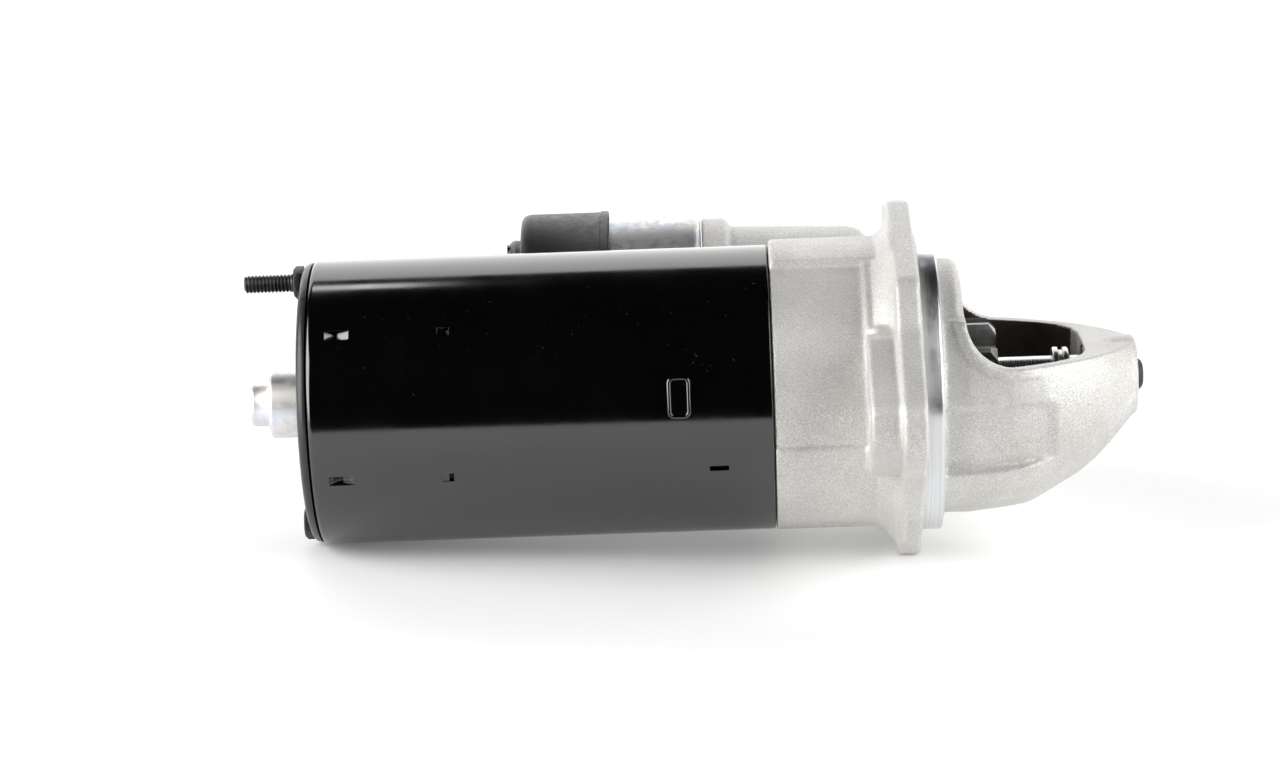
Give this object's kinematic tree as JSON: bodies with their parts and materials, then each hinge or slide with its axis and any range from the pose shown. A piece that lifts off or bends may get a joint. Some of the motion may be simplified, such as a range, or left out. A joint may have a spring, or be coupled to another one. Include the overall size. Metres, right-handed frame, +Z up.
{
  "type": "starter motor",
  "caption": "Engine starter motor with a painted field frame, cast drive housing with flange and windowed nose, planetary gear, sliding pinion and solenoid.",
  "frame": {"origin": "on the shaft axis in the mounting face of the drive housing's flange", "axes": "+X along the shaft towards the nose, +Z up, +Y to the side that the solenoid is on"},
  "size_m": [0.2455, 0.1649, 0.0944],
  "materials": {
    "cast_aluminium": "sand-textured die casting with machined spigot and faces",
    "black_paint": "gloss black paint",
    "black_plastic": "fine-grained black moulding",
    "gear_plastic": "glass-filled nylon",
    "zinc_plate": "bright zinc plating with a faint rainbow tint",
    "black_steel": "black phosphated steel",
    "bright_steel": "ground steel",
    "gear_steel": "hardened, oiled steel",
    "laminations": "stacked electrical steel",
    "ferrite": "sintered ferrite",
    "copper": "copper",
    "carbon": "copper-graphite brush",
    "bronze": "sintered bronze or tinned brass",
    "rubber": "moulded rubber"
  },
  "bodies": {
    "housing": {"drive_housing": "cast_aluminium", "nose_bush": "bronze", "nose_plug": "rubber", "shaft_support": "gear_steel", "field_frame": "black_paint", "end_cover": "black_paint", "bearing_cap": "zinc_plate", "rear_bush": "bronze", "through_bolt_stud": "black_steel", "through_bolt": "black_steel", "brush_plate": "black_plastic", "ring_gear": "gear_plastic", "lever_pivot": "bright_steel", "solenoid_can": "zinc_plate", "solenoid_coil": "copper", "solenoid_core": "bright_steel", "plunger_spring": "bright_steel", "solenoid_cap": "black_plastic", "battery_terminal": "copper", "motor_terminal": "copper", "battery_nut": "zinc_plate", "motor_nut": "zinc_plate", "blade_terminal": "bronze", "motor_lead": "rubber", "lead_grommet": "rubber", "magnet_1": "ferrite", "magnet_2": "ferrite", "magnet_3": "ferrite", "magnet_4": "ferrite", "magnet_5": "ferrite", "magnet_6": "ferrite", "brush_1": "carbon", "brush_spring_1": "bright_steel", "brush_2": "carbon", "brush_spring_2": "bright_steel", "brush_3": "carbon", "brush_spring_3": "bright_steel", "brush_4": "carbon", "brush_spring_4": "bright_steel", "solenoid_screw_1": "zinc_plate", "solenoid_screw_2": "zinc_plate", "solenoid_screw_3": "zinc_plate"},
    "armature": {"armature_shaft": "bright_steel", "armature_core": "laminations", "winding_front": "copper", "winding_rear": "copper", "commutator": "copper"},
    "output_shaft": {"drive_shaft": "bright_steel", "stop_ring": "bright_steel", "planet_pin_1": "bright_steel", "planet_pin_2": "bright_steel", "planet_pin_3": "bright_steel"},
    "planet_1": {"planet_gear_1": "gear_steel"},
    "planet_2": {"planet_gear_2": "gear_steel"},
    "planet_3": {"planet_gear_3": "gear_steel"},
    "drive": {"drive_sleeve": "gear_steel"},
    "pinion": {"pinion": "gear_steel"},
    "lever": {"shift_lever": "gear_plastic"},
    "plunger": {"plunger": "bright_steel"},
    "contact": {"contact_bridge": "copper"}
  },
  "joints": [
    {"name": "armature_spin", "type": "hinge", "parent": "housing", "child": "armature", "pos_m": [-0.1, 0, 0], "axis": [1, 0, 0], "continuous": true},
    {"name": "shaft_spin", "type": "hinge", "parent": "housing", "child": "output_shaft", "pos_m": [0, 0, 0], "axis": [1, 0, 0], "continuous": true},
    {"name": "planet_1_spin", "type": "hinge", "parent": "output_shaft", "child": "planet_1", "pos_m": [-0.058, 0, 0.01688], "axis": [1, 0, 0], "continuous": true},
    {"name": "planet_2_spin", "type": "hinge", "parent": "output_shaft", "child": "planet_2", "pos_m": [-0.058, -0.01461, -0.00844], "axis": [1, 0, 0], "continuous": true},
    {"name": "planet_3_spin", "type": "hinge", "parent": "output_shaft", "child": "planet_3", "pos_m": [-0.058, 0.01461, -0.00844], "axis": [1, 0, 0], "continuous": true},
    {"name": "plunger_slide", "type": "slide", "parent": "housing", "child": "plunger", "axis": [-1, 0, 0], "range_m": [0, 0.0105], "stiffness_N_per_m": 1200, "springref_m": -0.006, "deforming": ["plunger_spring"]},
    {"name": "lever_swing", "type": "hinge", "parent": "housing", "child": "lever", "pos_m": [-0.026, 0.03944, 0.00667], "axis": [0, -0.1668, 0.986], "range_deg": [0, 21.7]},
    {"name": "drive_slide", "type": "slide", "parent": "output_shaft", "child": "drive", "axis": [1, 0, 0], "range_m": [0, 0.0151]},
    {"name": "pinion_overrun", "type": "hinge", "parent": "drive", "child": "pinion", "pos_m": [0.01, 0, 0], "axis": [1, 0, 0], "continuous": true},
    {"name": "contact_slide", "type": "slide", "parent": "housing", "child": "contact", "axis": [-1, 0, 0], "range_m": [0, 0.00215]}
  ],
  "couplings": [
    {"joint": "shaft_spin", "follows": "armature_spin", "ratio": 0.2037},
    {"joint": "lever_swing", "follows": "plunger_slide", "rad_per_m": 35.904},
    {"joint": "drive_slide", "follows": "plunger_slide", "ratio": 1.4286},
    {"joint": "contact_slide", "follows": "plunger_slide", "ratio": 0.2},
    {"joint": "planet_1_spin", "follows": "armature_spin", "ratio": -0.54745},
    {"joint": "planet_2_spin", "follows": "armature_spin", "ratio": -0.54745},
    {"joint": "planet_3_spin", "follows": "armature_spin", "ratio": -0.54745}
  ]
}
